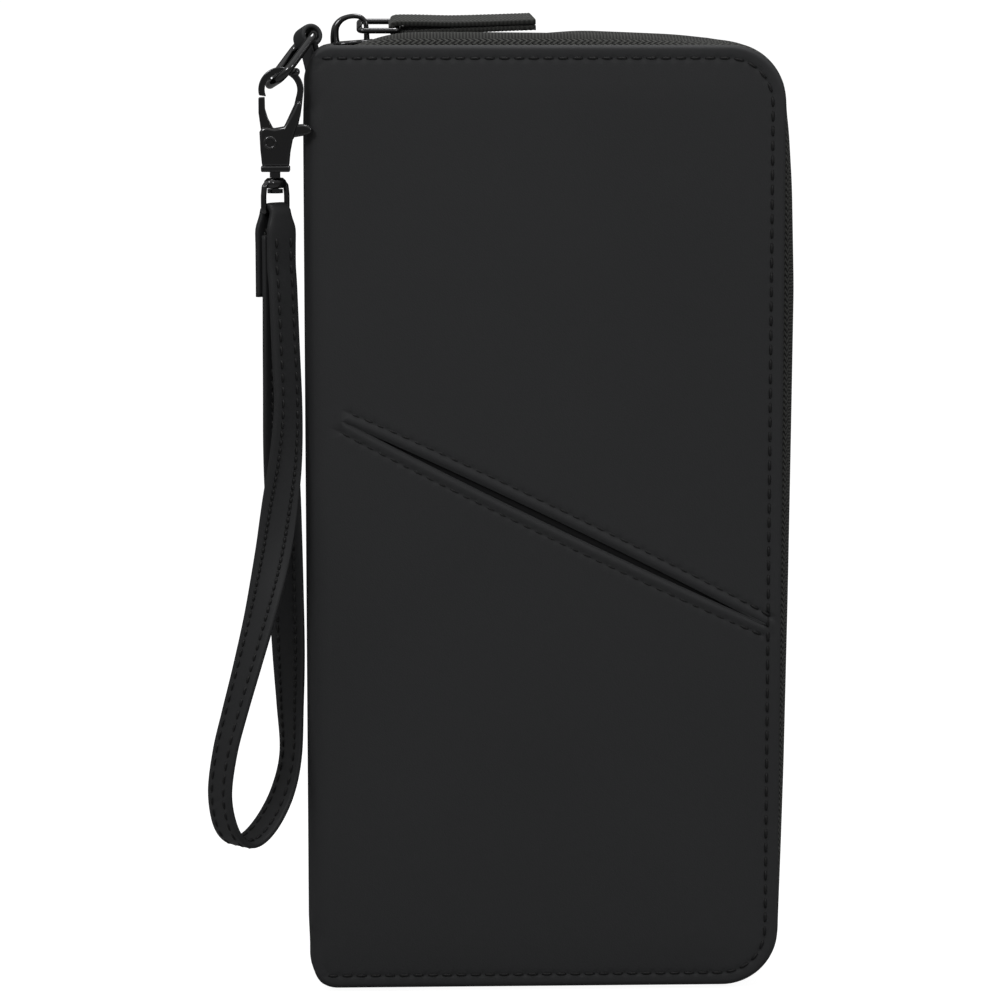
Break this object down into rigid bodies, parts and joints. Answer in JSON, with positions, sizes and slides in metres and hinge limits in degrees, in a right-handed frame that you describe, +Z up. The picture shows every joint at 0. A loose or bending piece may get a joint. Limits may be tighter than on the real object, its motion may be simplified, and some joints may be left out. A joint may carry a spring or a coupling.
{
  "type": "passport holder wallet",
  "caption": "Zip-around travel wallet that holds a passport, with padded covers, a slanted front pocket, card pockets and a clip-on wrist strap.",
  "frame": {"origin": "middle of the flat foot that the closed wallet stands on, midway between the covers", "axes": "+Z up along the height of the covers, +X from the spine to the free edge, -Y out of the front cover with the slanted pocket"},
  "size_m": [0.1471, 0.0423, 0.2446],
  "materials": {
    "pu_leather": "soft matte coated",
    "strap_leather": "soft matte coated",
    "lining": "fine ribbed polyester",
    "pocket_cloth": "plain woven polyester",
    "foam": "soft foam sheet",
    "board": "pressed board",
    "zip_tape": "woven",
    "zip_teeth": "satin nylon coil",
    "black_metal": "gloss black nickel",
    "spring_steel": "bright wire",
    "webbing": "ribbed grosgrain"
  },
  "bodies": {
    "back_cover": {"back_skin": "pu_leather", "back_foam": "foam", "back_board": "board", "back_lining": "lining", "boarding_pass_sleeve": "pocket_cloth", "passport_pocket": "pocket_cloth", "zip_tape_back": "zip_tape", "zip_coil_back": "zip_teeth", "zip_stops": "black_metal"},
    "spine": {"spine_skin": "pu_leather", "spine_board": "board", "spine_lining": "lining", "ring_tab": "pu_leather"},
    "front_cover": {"front_skin": "pu_leather", "slash_pocket_lining": "lining", "front_foam": "foam", "front_board": "board", "front_lining": "lining", "card_pocket_1": "pocket_cloth", "card_pocket_2": "pocket_cloth", "card_pocket_3": "pocket_cloth", "card_pocket_4": "pocket_cloth", "zip_tape_front": "zip_tape", "zip_coil_front": "zip_teeth"},
    "slider": {"slider_body": "black_metal", "slider_bail": "black_metal"},
    "link": {"pull_link": "black_metal"},
    "tab": {"pull_tab": "webbing"},
    "ring": {"oval_ring": "black_metal"},
    "clasp": {"clasp_body": "black_metal", "clasp_rivet": "black_metal", "gate_spring": "spring_steel", "swivel_post": "black_metal"},
    "gate": {"clasp_gate": "black_metal"},
    "swivel": {"strap_loop": "black_metal"},
    "strap": {"wrist_strap": "strap_leather"}
  },
  "joints": [
    {"name": "spine_fold", "type": "hinge", "parent": "back_cover", "child": "spine", "pos_m": [-0.057, 0.0125, 0.1], "axis": [0, 0, -1], "range_deg": [0, 90]},
    {"name": "cover_fold", "type": "hinge", "parent": "spine", "child": "front_cover", "pos_m": [-0.057, -0.0125, 0.1], "axis": [0, 0, -1], "range_deg": [0, 90]},
    {"name": "zip_slide", "type": "slide", "parent": "back_cover", "child": "slider", "axis": [0.9972, 0, 0.0748], "range_m": [0, 0.05]},
    {"name": "link_swing", "type": "hinge", "parent": "slider", "child": "link", "pos_m": [-0.0464, 0, 0.2414], "axis": [0, 0.9703, 0.2419], "range_deg": [-160, 0]},
    {"name": "tab_swing", "type": "hinge", "parent": "link", "child": "tab", "pos_m": [-0.037, 0, 0.2414], "axis": [0, 0.9703, 0.2419], "range_deg": [-52, 0]},
    {"name": "ring_swing", "type": "hinge", "parent": "spine", "child": "ring", "pos_m": [-0.059, -0.007, 0.2388], "axis": [-0.3948, 0.88, -0.264], "range_deg": [0, 80]},
    {"name": "clasp_swing", "type": "hinge", "parent": "ring", "child": "clasp", "pos_m": [-0.06704, -0.01381, 0.22813], "axis": [-0.3948, 0.88, -0.264], "range_deg": [0, 60]},
    {"name": "gate_open", "type": "hinge", "parent": "clasp", "child": "gate", "pos_m": [-0.06819, -0.01381, 0.21348], "axis": [0, 1, 0], "range_deg": [0, 20], "stiffness_Nm_per_rad": 0.002, "springref_deg": -5.73},
    {"name": "swivel_turn", "type": "hinge", "parent": "clasp", "child": "swivel", "pos_m": [-0.06709, -0.01381, 0.20428], "axis": [0, 0, 1], "range_deg": [-6, 45]},
    {"name": "strap_swing", "type": "hinge", "parent": "swivel", "child": "strap", "pos_m": [-0.06709, -0.01381, 0.19638], "axis": [0.7071, 0.7071, 0], "range_deg": [0, 60]}
  ],
  "couplings": [
    {"joint": "cover_fold", "follows": "spine_fold", "ratio": 1}
  ]
}
